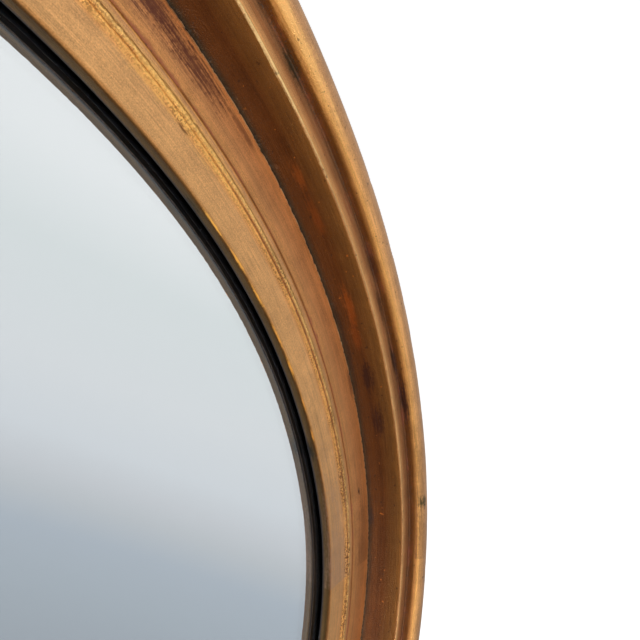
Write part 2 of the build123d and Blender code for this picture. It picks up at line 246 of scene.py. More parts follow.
def new_group(name, inputs, outputs):
    """A node group with named inputs and outputs, given as (name, kind, plain value)."""
    tree = bpy.data.node_groups.new(name, "ShaderNodeTree")
    for label, kind, plain in inputs:
        socket = tree.interface.new_socket(name=label, in_out="INPUT", socket_type="NodeSocket" + kind)
        socket.default_value = plain
    for label, kind in outputs:
        tree.interface.new_socket(name=label, in_out="OUTPUT", socket_type="NodeSocket" + kind)
    return tree, tree.nodes.new("NodeGroupInput").outputs, tree.nodes.new("NodeGroupOutput").inputs


moulding_outline = np.vstack([
    bowed((0.009, seat_level), (0.0036, lip_level + 0.0263), 0.002),
    rounded((0.0068, lip_level + 0.0323), 0.0068, 241.9, 0),
    straight((0.0136, lip_level + 0.0323), (0.0136, step_level)),
    straight((0.0136, step_level), (0.0242, step_level)),
    bowed((0.0242, step_level), (0.0258, step_level), -0.001),
    bowed((0.0258, step_level), (0.0326, lip_level + 0.005), 0.0017),
    straight((0.0326, lip_level + 0.005), (0.0326, seat_level)),
    straight((0.0326, seat_level), (0.009, seat_level))])
moulding_section = softened(moulding_outline, 0.0003, 0.024, 0.098)
moulding_round = moulding_section[3]


def moulding_relief(heading, developed):
    """Depth of the handwork: slow waves, ridges left along the length by the scraped gesso, a fine
    tooth, small dents on the half round and a nick or two, fading out towards the hidden faces."""
    around = (run_at(heading) - run_at(0)) / whole_run % 1
    across = developed / moulding_round
    waves = 0.00016 * unevenness(around, across, 70, 14, 11)
    ridges = 0.00005 * unevenness(around, across, 46, 200, 12)
    tooth = 0.00003 * unevenness(around, across, 900, 260, 13)
    half_round = bump_between(developed, 0.030, 0.054, 0.003)
    dents = 0.00022 * half_round * np.clip(unevenness(around, across, 210, 24, 14) - 0.72, 0, 1) * 3
    holes = (0.0006 * dent(heading, developed, 5.4, 0.0918, 0.0009, 0.0008)
             + 0.0005 * dent(heading, developed, -32.3, 0.0493, 0.0022, 0.0009)
             + 0.0005 * dent(heading, developed, -49.8, 0.0437, 0.0012, 0.0010)
             + 0.0003 * dent(heading, developed, -15.5, 0.0700, 0.0030, 0.0012))
    return (waves + ridges + tooth + dents + holes) * bump_between(developed, 0.002, 0.094, 0.004)


# Streaks along the moulding, as scraping and rubbing leave them. They read the distance round the
# section, so they stay narrow across it, and the place round the oval, so they have no seam.
streaks, given, result = new_group("lengthwise streaks", [
    ("Along", "Float", 12.0), ("Across", "Float", 700.0), ("Detail", "Float", 2.0)], [("Streak", "Float")])
place = add(streaks, "ShaderNodeSeparateXYZ",
            {0: add(streaks, "ShaderNodeTexCoord").outputs["Object"]}).outputs
section_place = add(streaks, "ShaderNodeSeparateXYZ",
                    {0: add(streaks, "ShaderNodeUVMap", uv_map="around").outputs[0]}).outputs
stretched = add(streaks, "ShaderNodeCombineXYZ", {
    0: sum_of(streaks, "MULTIPLY", place[0], given["Along"]),
    1: sum_of(streaks, "MULTIPLY", section_place[1], given["Across"]),
    2: sum_of(streaks, "MULTIPLY", place[2], given["Along"])}).outputs[0]
streak_noise = add(streaks, "ShaderNodeTexNoise",
                   {"Vector": stretched, "Scale": 1.0, "Detail": given["Detail"],
                    "Roughness": 0.6})
streaks.links.new(streak_noise.outputs[0], result[0])

# One ragged patch at a place: round the oval, and round the section.
patches, given, result = new_group("patch mask", [
    ("Place", "Vector", (0, 0, 0)), ("Size", "Vector", (0.01, 0.003, 1)), ("Ragged", "Float", 0.6)],
    [("Mask", "Float")])
section_place = add(patches, "ShaderNodeUVMap", uv_map="around").outputs[0]
off = add(patches, "ShaderNodeVectorMath", {0: section_place, 1: given["Place"]},
          operation="SUBTRACT").outputs[0]
share = add(patches, "ShaderNodeVectorMath", {0: off, 1: given["Size"]}, operation="DIVIDE").outputs[0]
distance = add(patches, "ShaderNodeVectorMath", {0: share}, operation="LENGTH").outputs["Value"]
rag = add(patches, "ShaderNodeTexNoise", {"Vector": add(patches, "ShaderNodeTexCoord").outputs["Object"],
                                          "Scale": 520.0, "Detail": 5.0, "Roughness": 0.7}).outputs[0]
drawn = add(patches, "ShaderNodeGroup", {"Along": 60.0, "Across": 1100.0, "Detail": 3.0},
            node_tree=streaks).outputs[0]
torn = sum_of(patches, "SUBTRACT", sum_of(patches, "ADD", rag, sum_of(patches, "MULTIPLY", drawn, 1.4)), 1.2)
torn = sum_of(patches, "MULTIPLY", sum_of(patches, "MULTIPLY", torn, given["Ragged"]), 3.2)
patches.links.new(eased(patches, sum_of(patches, "ADD", distance, torn), 0.2, 1.3, 1.0, 0.0), result[0])

# Leaf over red clay: streaked, rubbed through to the clay here and there, with brown grime.
gilding, given, result = new_group("old gilding", [
    ("Leaf", "Color", (0.6, 0.35, 0.1, 1)), ("Clay", "Color", (0.2, 0.05, 0.02, 1)),
    ("Grime", "Color", (0.03, 0.02, 0.01, 1)), ("Rubbed", "Float", 0.2), ("Soiled", "Float", 0.2),
    ("Streaky", "Float", 1.0)],
    [("Colour", "Color"), ("Metallic", "Float"), ("Roughness", "Float"), ("Height", "Float")])
here = add(gilding, "ShaderNodeTexCoord").outputs["Object"]
broad = add(gilding, "ShaderNodeGroup", {"Along": 9.0, "Across": 420.0, "Detail": 3.0},
            node_tree=streaks).outputs[0]
narrow = add(gilding, "ShaderNodeGroup", {"Along": 55.0, "Across": 2300.0, "Detail": 2.0},
             node_tree=streaks).outputs[0]
cloud = add(gilding, "ShaderNodeTexNoise",
            {"Vector": here, "Scale": 95.0, "Detail": 5.0, "Roughness": 0.6}).outputs[0]
specks = add(gilding, "ShaderNodeTexNoise", {"Vector": here, "Scale": 1500.0, "Detail": 2.0}).outputs[0]
grit = add(gilding, "ShaderNodeTexNoise", {"Vector": here, "Scale": 2300.0, "Detail": 1.0}).outputs[0]
swing = sum_of(gilding, "ADD", sum_of(gilding, "MULTIPLY", sum_of(gilding, "SUBTRACT", broad, 0.5), 0.7),
               sum_of(gilding, "MULTIPLY", sum_of(gilding, "SUBTRACT", narrow, 0.5), 0.8))
swing = sum_of(gilding, "MULTIPLY", swing, given["Streaky"])
swing = sum_of(gilding, "ADD", swing,
               sum_of(gilding, "MULTIPLY", sum_of(gilding, "SUBTRACT", grit, 0.5), 0.9))
shade = sum_of(gilding, "ADD", 1.0, sum_of(gilding, "ADD", swing, sum_of(
    gilding, "MULTIPLY", sum_of(gilding, "SUBTRACT", cloud, 0.5), 0.6)))
leaf = add(gilding, "ShaderNodeVectorMath", {0: given["Leaf"], 3: shade}, operation="SCALE").outputs[0]
through = sum_of(gilding, "ADD", given["Rubbed"], sum_of(gilding, "ADD", sum_of(
    gilding, "MULTIPLY", sum_of(gilding, "SUBTRACT", cloud, 0.5), 1.1), sum_of(
    gilding, "MULTIPLY", sum_of(gilding, "SUBTRACT", broad, 0.5), 0.7)))
through = eased(gilding, through, 0.45, 0.75)
coloured = blended(gilding, sum_of(gilding, "MULTIPLY", through, 0.75), leaf, given["Clay"])
dirty = sum_of(gilding, "ADD", given["Soiled"],
               sum_of(gilding, "MULTIPLY", sum_of(gilding, "SUBTRACT", specks, 0.5), 1.6))
dirty = eased(gilding, dirty, 0.55, 0.9)
coloured = blended(gilding, sum_of(gilding, "MULTIPLY", dirty, 0.8), coloured, given["Grime"])
gilding.links.new(coloured, result["Colour"])
dull = sum_of(gilding, "MAXIMUM", sum_of(gilding, "MULTIPLY", through, 0.8), dirty)
gilding.links.new(sum_of(gilding, "SUBTRACT", 0.6, sum_of(gilding, "MULTIPLY", dull, 0.55)),
                  result["Metallic"])
gilding.links.new(sum_of(gilding, "ADD",
                         sum_of(gilding, "ADD", 0.28, sum_of(gilding, "MULTIPLY", dull, 0.26)),
                         sum_of(gilding, "MULTIPLY", narrow, 0.16)), result["Roughness"])
gilding.links.new(sum_of(gilding, "SUBTRACT", sum_of(gilding, "ADD", sum_of(gilding, "MULTIPLY", grit, 0.8),
                  sum_of(gilding, "MULTIPLY", narrow, 0.6)), sum_of(gilding, "MULTIPLY", dull, 0.35)),
                  result["Height"])


def new_material(name):
    """A material with one Principled shader, and its node tree and shader."""
    made = bpy.data.materials.new(name)
    made.use_nodes = True
    return made, made.node_tree, made.node_tree.nodes["Principled BSDF"]


def joined(tree, shader, colour=None, roughness=None, metallic=None, height=None, depth=0.0001, strength=1.0):
    """Joins what varies over the surface to the shader, the height through a Bump node."""
    for name, source in (("Base Color", colour), ("Roughness", roughness), ("Metallic", metallic)):
        if source is not None:
            tree.links.new(source, shader.inputs[name])
    if height is not None:
        bump = add(tree, "ShaderNodeBump", {"Strength": strength, "Distance": depth, "Height": height})
        tree.links.new(bump.outputs[0], shader.inputs["Normal"])


def across_section(tree, whole):
    """Distance round the section as a share of the whole way round."""
    place = add(tree, "ShaderNodeUVMap", uv_map="around").outputs[0]
    return sum_of(tree, "DIVIDE", add(tree, "ShaderNodeSeparateXYZ", {0: place}).outputs[1], whole)


def tones_across(tree, across, whole, stops):
    """Colours at distances round the section, in millimetres."""
    return colour_bands(tree, across, [(at / 1000 / whole, paint(*tone)) for at, tone in stops])


def shares_across(tree, across, whole, stops):
    """Plain shares at distances round the section, in millimetres."""
    return colour_bands(tree, across, [(at / 1000 / whole, (v, v, v, 1)) for at, v in stops])


def places_of_wear_and_painted_light(tree, colour, places):
    """Colours single places of wear, of painted highlight and of painted shade: heading, distance
    round the section, length and width in millimetres, tone, and strength."""
    for heading, at, length, width, tone, strength in places:
        mask = add(tree, "ShaderNodeGroup", {
            "Place": (run_at(heading), at / 1000, 0), "Size": (length / 1000, width / 1000, 1)},
            node_tree=patches).outputs[0]
        colour = blended(tree, sum_of(tree, "MULTIPLY", mask, strength), colour, paint(*tone))
    return colour


moulding_gilding, tree, shader = new_material("gilded moulding")
across = across_section(tree, moulding_round)
# Colours round the section, in millimetres. Painted highlights: the bright stops at 49 and 51 on the half
# round, and from 68 to 70.4 on the arris. Painted shade: the dark stops from 52.6 to 57.6 under the half
# round, and the grey-green stops from 95.5 at the cove's foot. The cove's dark brown from 75 to 92 is partly
# its toning and partly painted shade.
leaf = tones_across(tree, across, moulding_round, (
    (0, (112, 84, 50)), (24, (98, 70, 40)), (27, (142, 106, 68)), (33, (166, 130, 94)), (40, (172, 130, 88)),
    (46, (184, 134, 90)), (49, (230, 168, 104)), (51, (224, 162, 88)), (52.6, (172, 114, 58)),
    (54.6, (114, 66, 20)),
    (57.6, (104, 60, 26)), (60.5, (172, 120, 78)), (63, (168, 112, 68)), (68, (228, 170, 108)),
    (69.3, (252, 252, 174)), (70.4, (216, 154, 98)), (71.6, (140, 94, 44)), (75, (116, 76, 34)),
    (84, (92, 48, 8)), (92, (92, 48, 8)), (95.5, (54, 44, 26)), (98, (28, 24, 17))))
rubbed = shares_across(tree, across, moulding_round, (
    (0, 0.3), (30, 0.25), (44, 0.12), (50, 0.1), (55, 0.45), (60, 0.5), (64, 0.3), (69, 0.15), (72, 0.15),
    (84, 0.12), (94, 0.15)))
soiled = shares_across(tree, across, moulding_round, (
    (0, 0.5), (26, 0.45), (33, 0.15), (50, 0.05), (55, 0.5), (58.5, 0.62), (62, 0.25), (69, 0.08), (73, 0.35),
    (86, 0.3), (94, 0.5), (98, 0.8)))
clay = paint(118, 52, 24)
finish = add(tree, "ShaderNodeGroup",
             {"Leaf": leaf, "Clay": clay, "Grime": paint(38, 30, 18), "Rubbed": rubbed,
                                       "Soiled": soiled}, node_tree=gilding).outputs
colour = finish["Colour"]
# Places: the bright ones at headings 12 and 13 on the arris and half round are painted highlights. The dimmer
# ones at headings -8 to -47 on the half round and arris, and the dark ones at 92.5 and 93 mm by the cove's
# foot, are painted shade. The rest are wear, dents and grime.
colour = places_of_wear_and_painted_light(tree, colour, (
    (4.0, 84.5, 9, 2.6, (146, 72, 16), 0.6), (0.5, 84.8, 12, 2.4, (138, 66, 16), 0.55),
    (-8.0, 84.6, 15, 3.0, (148, 70, 12), 0.7), (-11.0, 85.5, 12, 2.4, (136, 64, 12), 0.6),
    (-15.5, 84.0, 12, 4.0, (52, 22, 12), 0.85), (-20.5, 82.5, 14, 4.4, (58, 26, 14), 0.8),
    (12.0, 70.0, 62, 1.3, (255, 218, 150), 0.75), (13.0, 49.6, 60, 2.6, (255, 196, 116), 0.6),
    (13.0, 52.4, 50, 1.5, (214, 150, 78), 0.6), (-47.0, 49.0, 90, 4.5, (150, 106, 66), 0.5),
    (-30.0, 49.5, 42, 3.0, (150, 108, 68), 0.4), (-47.0, 52.6, 70, 1.8, (108, 64, 32), 0.5),
    (-46.0, 70.0, 80, 1.5, (150, 104, 62), 0.6), (-8.0, 70.0, 70, 1.2, (168, 118, 72), 0.4),
    (-12.0, 92.5, 40, 1.6, (40, 26, 16), 0.5), (-19.0, 55.5, 20, 3.2, (46, 20, 18), 0.85),
    (-14.5, 58.5, 12, 2.4, (48, 26, 20), 0.75), (-5.0, 57.0, 14, 2.6, (66, 32, 20), 0.6),
    (-9.0, 60.5, 10, 1.8, (70, 40, 28), 0.6), (-32.3, 48.2, 5, 3.2, (52, 54, 26), 0.9),
    (-46.9, 48.0, 4, 2.4, (70, 68, 38), 0.7), (10.5, 58.5, 10, 3.0, (40, 36, 18), 0.8),
    (-34.0, 93.0, 9, 1.8, (42, 30, 28), 0.6), (130, 84, 22, 3, (146, 62, 12), 0.7),
    (196, 85, 18, 3, (80, 34, 16), 0.7), (262, 84, 20, 3, (146, 62, 12), 0.6),
    (95, 50, 9, 3, (60, 58, 30), 0.7), (232, 49, 6, 3, (60, 58, 30), 0.7)))
flecks = add(tree, "ShaderNodeTexNoise", {"Vector": add(tree, "ShaderNodeTexCoord").outputs["Object"],
                                          "Scale": 330.0, "Detail": 2.0, "Roughness": 0.6}).outputs[0]
in_cove = sum_of(tree, "MULTIPLY", eased(tree, across, 0.072 / moulding_round, 0.076 / moulding_round),
                 eased(tree, across, 0.090 / moulding_round, 0.094 / moulding_round, 1.0, 0.0))
colour = blended(tree, sum_of(tree, "MULTIPLY", eased(tree, flecks, 0.70, 0.76, 0.0, 0.75), in_cove), colour,
                 paint(196, 106, 34))
colour = blended(tree, eased(tree, flecks, 0.27, 0.33, 0.6, 0.0), colour, paint(44, 26, 14))
joined(tree, shader, colour, finish["Roughness"], finish["Metallic"], finish["Height"], 0.0003, 1.0)

for side, (first, last) in moulding_ends.items():
    length = carried_round("gilded_moulding_" + side, moulding_section, first, last, moulding_step,
                           moulding_relief)
    length.data.materials.append(moulding_gilding)
    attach(length, "mirror")
    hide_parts("moulding_" + side)

# Liner: a flat gilded oval in four curved lengths, screwed to the base from behind. Outside in it has
# a coppery band, a scored groove, a fillet, a pitted double bead, a flat and a rubbed sight edge. The
# lip and the wood behind it are painted black, so that the glass doesn't show them. The black on the
# foot of the sight edge is painted shade, and a pale line along the lip's lower edge is a painted
# highlight.
liner_outline = np.vstack([
    straight((0.033, seat_level), (0.033, lip_level + 0.0073)),
    straight((0.033, lip_level + 0.0073), (0.05255, lip_level + 0.0063)),
    straight((0.05255, lip_level + 0.0063), (0.053, lip_level + 0.0056)),
    straight((0.053, lip_level + 0.0056), (0.05345, lip_level + 0.0063)),
    straight((0.05345, lip_level + 0.0063), (0.057, lip_level + 0.0063)),
    bowed((0.057, lip_level + 0.0063), (0.060, lip_level + 0.0063), -0.0009),
    bowed((0.060, lip_level + 0.0063), (0.063, lip_level + 0.0063), -0.0009),
    straight((0.063, lip_level + 0.0063), (0.0792, lip_level + 0.0066)),
    rounded((0.0792, lip_level + 0.0058), 0.0008, 90, 0),
    straight((0.080, lip_level + 0.0058), (0.080, lip_level + 0.0009)),
    rounded((0.0791, lip_level + 0.0009), 0.0009, 0, -90),
    straight((0.0791, lip_level), (0.0664, lip_level)),
    straight((0.0664, lip_level), (0.0664, seat_level)),
    straight((0.0664, seat_level), (0.033, seat_level))])
liner_section = softened(liner_outline, 0.0002, 0.004, 0.063)
liner_round = liner_section[3]


def liner_relief(heading, developed):
    """Depth of the handwork and wear: slow waves, fine ridges along the length, pitted beads, a
    chipped outer edge and a sight edge rubbed ragged on the right-hand side."""
    around = (run_at(heading) - run_at(0)) / whole_run % 1
    across = developed / liner_round
    waves = 0.00012 * unevenness(around, across, 60, 12, 21)
    ridges = 0.00004 * unevenness(around, across, 40, 240, 22)
    tooth = 0.00002 * unevenness(around, across, 900, 260, 23)
    beads = bump_between(developed, 0.0306, 0.0378, 0.0006)
    pits = 0.0011 * beads * np.clip(unevenness(around, across, 1500, 170, 24) - 0.5, 0, 1) * (
        0.3 + 1.2 * unevenness(around, across, 16, 1, 25))
    edge = bump_between(developed, 0.0052, 0.0066, 0.0006)
    chips = 0.0006 * edge * np.clip(unevenness(around, across, 1700, 60, 26) - 0.5, 0, 1) * 2
    sight = bump_between(developed, 0.0536, 0.0553, 0.0007)
    ragged = 0.00045 * sight * np.clip(unevenness(around, across, 1300, 130, 27) - 0.42, 0, 1) * (
        0.3 + 1.0 * unevenness(around, across, 22, 1, 28))
    holes = (0.0007 * dent(heading, developed, -28.5, 0.0160, 0.0010, 0.0010)
             + 0.0004 * dent(heading, developed, 12.0, 0.0382, 0.0016, 0.0006)
             + 0.0003 * dent(heading, developed, -30.5, 0.0368, 0.0014, 0.0006))
    return (waves + ridges + tooth + pits + chips + ragged + holes) * bump_between(developed, 0.003, 0.060,
                                                                                   0.002)


liner_gilding, tree, shader = new_material("gilded liner")
across = across_section(tree, liner_round)
# Colours round the section, in millimetres: the dark stops up to 5.3, on the outer face in the gap by the
# moulding, are painted shade, and the bright stops at 32.3 and 36 on the bead crests are painted highlights.
leaf = tones_across(tree, across, liner_round, (
    (0, (40, 36, 24)), (5.3, (62, 54, 36)), (6.0, (206, 164, 116)), (6.7, (222, 142, 80)),
    (13, (196, 128, 76)),
    (20, (196, 134, 82)), (24.6, (200, 138, 80)), (25.8, (124, 68, 28)), (27, (210, 142, 62)),
    (28.2, (200, 142, 94)),
    (30.2, (200, 148, 92)), (32.3, (252, 200, 120)), (34.2, (170, 96, 44)), (36, (246, 176, 94)),
    (38.1, (214, 150, 86)), (40, (210, 156, 100)), (52.6, (202, 150, 94)), (54, (184, 124, 64)),
    (54.8, (104, 66, 30)),
    (55.8, (100, 66, 24)), (56.6, (94, 70, 36)), (59.6, (118, 90, 50)), (60.4, (106, 92, 74)),
    (61.0, (30, 30, 30))))
rubbed = shares_across(tree, across, liner_round, (
    (0, 0.5), (6, 0.1), (8, 0.32), (23, 0.28), (25.8, 0.6), (28, 0.2), (32, 0.1), (34.2, 0.35), (36, 0.1),
    (39, 0.16),
    (52, 0.12), (54.5, 0.05), (57, 0.3)))
soiled = shares_across(tree, across, liner_round, (
    (0, 0.7), (5.4, 0.4), (7, 0.15), (24, 0.15), (25.8, 0.5), (28, 0.15), (32, 0.32), (34.2, 0.6), (36, 0.32),
    (38, 0.18), (53, 0.12), (54.7, 0.1), (57, 0.35), (60.6, 0.6)))
finish = add(tree, "ShaderNodeGroup", {"Leaf": leaf, "Clay": paint(122, 58, 32), "Grime": paint(44, 34, 20),
                                       "Rubbed": rubbed, "Soiled": soiled}, node_tree=gilding).outputs
colour = finish["Colour"]
# Places: the bright one at heading 13 on the beads is a painted highlight. The dark one at heading -19 on the
# sight wall is painted shade, and the one at heading 8 darkens the sight wall. The rest are wear and dents.
colour = places_of_wear_and_painted_light(tree, colour, (
    (19.0, 13.0, 34, 7.0, (88, 44, 38), 0.85), (13.5, 13.0, 20, 5.2, (94, 48, 36), 0.8),
    (9.0, 10.0, 14, 2.0, (106, 54, 34), 0.6), (13.0, 34.0, 58, 5.0, (255, 196, 104), 0.55),
    (-42.0, 47.0, 110, 13.0, (172, 136, 112), 0.5), (21.0, 18.0, 20, 3.0, (92, 52, 44), 0.6),
    (6.0, 54.4, 9, 0.9, (255, 186, 84), 0.95), (2.5, 54.3, 8, 0.8, (250, 176, 76), 0.9),
    (-1.0, 54.5, 10, 0.9, (255, 180, 76), 0.95), (-5.0, 54.4, 9, 0.8, (246, 168, 70), 0.9),
    (-9.0, 54.6, 9, 0.8, (250, 172, 70), 0.9), (-13.0, 54.4, 8, 0.7, (240, 160, 64), 0.85),
    (-17.0, 54.5, 6, 0.7, (236, 158, 66), 0.8), (-16, 7.5, 14, 2.0, (112, 66, 44), 0.6),
    (-19.0, 58.6, 8, 2.2, (26, 30, 18), 0.9), (-28.5, 15.5, 3.4, 0.9, (44, 26, 18), 0.9),
    (12.0, 38.6, 4.0, 0.8, (90, 50, 26), 0.8), (8.0, 59.0, 10, 2.0, (44, 42, 24), 0.7),
    (-38, 12, 40, 9, (126, 78, 46), 0.5), (100, 13, 30, 6, (96, 50, 40), 0.6),
    (160, 12, 30, 6, (110, 60, 40), 0.5), (215, 14, 26, 6, (100, 54, 40), 0.6),
    (290, 13, 30, 6, (112, 62, 42), 0.5)))
pit_noise = add(tree, "ShaderNodeTexNoise", {"Vector": add(tree, "ShaderNodeTexCoord").outputs["Object"],
                                             "Scale": 1100.0, "Detail": 2.0}).outputs[0]
pit_places = add(tree, "ShaderNodeTexNoise", {"Vector": add(tree, "ShaderNodeTexCoord").outputs["Object"],
                                              "Scale": 28.0, "Detail": 1.0}).outputs[0]
on_beads = sum_of(tree, "MULTIPLY", eased(tree, across, 0.0300 / liner_round, 0.0310 / liner_round),
                  eased(tree, across, 0.0376 / liner_round, 0.0388 / liner_round, 1.0, 0.0))
pitted = sum_of(tree, "MULTIPLY", eased(tree, pit_noise, 0.5, 0.56),
                eased(tree, pit_places, 0.4, 0.6, 0.3, 0.9))
colour = blended(tree, sum_of(tree, "MULTIPLY", pitted, on_beads), colour, paint(118, 70, 30))
# Black from partway down the sight wall onwards: on the foot of the wall it is painted shade, and on the lip
# and the wood behind it it is black paint with dust.
black = eased(tree, across, 0.0578 / liner_round, 0.0610 / liner_round)
dust = add(tree, "ShaderNodeTexNoise",
           {"Vector": add(tree, "ShaderNodeTexCoord").outputs["Object"], "Scale": 900.0,
            "Detail": 1.0}).outputs[0]
dusty = blended(tree, eased(tree, dust, 0.74, 0.80), paint(8, 20, 34), paint(120, 122, 124))
colour = blended(tree, black, colour, dusty)
# A painted highlight: a thin pale line along the lip's lower edge, at the edge of the black.
lower_edge_highlight = sum_of(tree, "MULTIPLY", eased(tree, across, 0.0608 / liner_round, 0.0611 / liner_round),
                   eased(tree, across, 0.0613 / liner_round, 0.0616 / liner_round, 0.6, 0.0))
colour = blended(tree, lower_edge_highlight, colour, paint(150, 132, 118))
plain = sum_of(tree, "SUBTRACT", 1.0, black)
dull = sum_of(tree, "MAXIMUM", finish["Roughness"], sum_of(tree, "MULTIPLY", black, 0.9))
joined(tree, shader, colour, dull, sum_of(tree, "MULTIPLY", finish["Metallic"], plain),
       finish["Height"], 0.00018, 1.0)

for side, (first, last) in moulding_ends.items():
    length = carried_round("gilded_liner_" + side, liner_section, first, last, 0.00115, liner_relief)
    length.data.materials.append(liner_gilding)
    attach(length, "mirror")
    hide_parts("liner_" + side)

# Base: four flat boards of old pine, joined on the axes of the oval, which carry everything else.
# Bare and saw-marked behind, with a brown wash on the outer side, where the wall throws it in shade.
grain, given, result = new_group("board grain", [
    ("Along", "Vector", (0.61, 0, -0.79)), ("Rings", "Float", 260.0)],
    [("Early", "Float"), ("Fibre", "Float"), ("Saw", "Float")])
here = add(grain, "ShaderNodeSeparateXYZ", {0: add(grain, "ShaderNodeTexCoord").outputs["Object"]}).outputs
folded = add(grain, "ShaderNodeCombineXYZ", {
    0: sum_of(grain, "ABSOLUTE", here[0]), 1: here[1], 2: sum_of(grain, "ABSOLUTE", here[2])}).outputs[0]
board = add(grain, "ShaderNodeCombineXYZ", {
    0: sum_of(grain, "MULTIPLY", sum_of(grain, "SIGN", here[0]), 3.1),
    1: sum_of(grain, "MULTIPLY", sum_of(grain, "SIGN", here[2]), 1.7), 2: 0.0}).outputs[0]
along = add(grain, "ShaderNodeVectorMath", {0: folded, 1: given["Along"]},
            operation="DOT_PRODUCT").outputs["Value"]
turned = add(grain, "ShaderNodeVectorMath", {0: given["Along"], 1: (0, 1, 0)},
             operation="CROSS_PRODUCT").outputs[0]
side_on = add(grain, "ShaderNodeVectorMath", {0: folded, 1: turned}, operation="DOT_PRODUCT").outputs["Value"]
lined = add(grain, "ShaderNodeCombineXYZ", {0: sum_of(grain, "MULTIPLY", along, 3.0),
                                            1: sum_of(grain, "MULTIPLY", side_on, 60.0),
                                            2: sum_of(grain, "MULTIPLY", here[1], 60.0)}).outputs[0]
lined = add(grain, "ShaderNodeVectorMath", {0: lined, 1: board}, operation="ADD").outputs[0]
bend = add(grain, "ShaderNodeTexNoise", {"Vector": lined, "Scale": 1.0, "Detail": 2.0}).outputs[0]
ring = sum_of(grain, "ADD", sum_of(grain, "MULTIPLY", side_on, given["Rings"]),
              sum_of(grain, "MULTIPLY", bend, 9.0))
grain.links.new(sum_of(grain, "POWER", sum_of(grain, "FRACT", ring), 2.2), result["Early"])
fibres = add(grain, "ShaderNodeVectorMath", {0: lined, 1: (12, 30, 30)}, operation="MULTIPLY").outputs[0]
grain.links.new(add(grain, "ShaderNodeTexNoise", {"Vector": fibres, "Scale": 1.0, "Detail": 3.0}).outputs[0],
                result["Fibre"])
saw_line = sum_of(grain, "ADD", sum_of(grain, "MULTIPLY", along, 2100.0),
                  sum_of(grain, "MULTIPLY", bend, 5.0))
grain.links.new(sum_of(grain, "SINE", saw_line), result["Saw"])

old_pine, tree, shader = new_material("old pine")
look = add(tree, "ShaderNodeGroup", {}, node_tree=grain).outputs
wood = blended(tree, look["Early"], paint(178, 140, 96), paint(142, 98, 58))
wood = blended(tree, eased(tree, look["Fibre"], 0.35, 0.7, 0.0, 0.35), wood, paint(112, 78, 48))
stain = add(tree, "ShaderNodeTexNoise",
            {"Vector": add(tree, "ShaderNodeTexCoord").outputs["Object"], "Scale": 14.0,
             "Detail": 5.0}).outputs[0]
wood = blended(tree, eased(tree, stain, 0.42, 0.75, 0.0, 0.5), wood, paint(96, 66, 42))
facing = add(tree, "ShaderNodeSeparateXYZ", {0: add(tree, "ShaderNodeTexCoord").outputs["Normal"]}).outputs[1]
edge = eased(tree, sum_of(tree, "ABSOLUTE", facing), 0.3, 0.7, 1.0, 0.0)
wood = blended(tree, sum_of(tree, "MULTIPLY", edge, eased(tree, stain, 0.3, 0.6, 0.95, 0.75)), wood,
               paint(104, 74, 42))
joined(tree, shader, wood, eased(tree, look["Fibre"], 0.2, 0.8, 0.62, 0.85), None,
       sum_of(tree, "ADD", sum_of(tree, "MULTIPLY", look["Saw"], 0.25), look["Fibre"]), 0.00025, 0.7)


def dress(name, material):
    """Gives a piece of the frame one material."""
    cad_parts[name].data.materials.clear()
    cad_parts[name].data.materials.append(material)


for side in ("upper_right", "upper_left", "lower_left", "lower_right"):
    dress("base_" + side, old_pine)

# Dowels and tongues: plain beech, glued in the joints and out of sight.
beech, tree, shader = new_material("beech")
look = add(tree, "ShaderNodeGroup", {"Along": (0, 0, 1), "Rings": 900.0}, node_tree=grain).outputs
wood = blended(tree, look["Early"], paint(206, 172, 132), paint(188, 150, 110))
wood = blended(tree, eased(tree, look["Fibre"], 0.4, 0.7, 0.0, 0.3), wood, paint(160, 122, 86))
joined(tree, shader, wood, eased(tree, look["Fibre"], 0.2, 0.8, 0.5, 0.7), None, look["Fibre"], 0.0001, 0.5)
for name in ("base_dowels", "moulding_dowels", "liner_tongues"):
    dress(name, beech)

# Slip: a strip of black felt glued under the liner's lip, which keeps the lip off the glass. It ends
# a little behind the sight edge, and its cut edge is slightly fluffy.
slip_outline = np.vstack([
    straight((0.067, 0.01875), (0.067, lip_level)), straight((0.067, lip_level), (0.0776, lip_level)),
    straight((0.0776, lip_level), (0.0776, 0.01875)), straight((0.0776, 0.01875), (0.067, 0.01875))])
slip_section = softened(slip_outline, 0.0002, 0.009, 0.0128)


def slip_relief(heading, developed):
    """Depth of the fluffy cut edge: two sizes of random hollow, on the edge towards the glass only."""
    around = (run_at(heading) - run_at(0)) / whole_run % 1
    across = developed / slip_section[3]
    cut = bump_between(developed, 0.0112, 0.0132, 0.0006)
    return cut * (0.0003 * unevenness(around, across, 420, 12, 31) + 0.00012 * unevenness(around, across,
                                                                                          1500, 60, 32))


slip = carried_round("felt_slip", slip_section, 0, 360, 0.0012, slip_relief)
black_felt, tree, shader = new_material("black felt")
here = add(tree, "ShaderNodeTexCoord").outputs["Object"]
fluff = add(tree, "ShaderNodeTexNoise",
            {"Vector": here, "Scale": 2600.0, "Detail": 4.0, "Roughness": 0.7}).outputs[0]
lint = add(tree, "ShaderNodeTexNoise", {"Vector": here, "Scale": 700.0, "Detail": 1.0}).outputs[0]
felt = blended(tree, fluff, paint(3, 12, 24), paint(14, 26, 40))
felt = blended(tree, eased(tree, lint, 0.76, 0.82, 0.0, 0.8), felt, paint(138, 140, 142))
joined(tree, shader, felt, eased(tree, fluff, 0.3, 0.7, 0.8, 0.98), None, fluff, 0.0002, 1.0)
shader.inputs["Sheen Weight"].default_value = 0.15
slip.data.materials.append(black_felt)
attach(slip, "mirror")
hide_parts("slip")

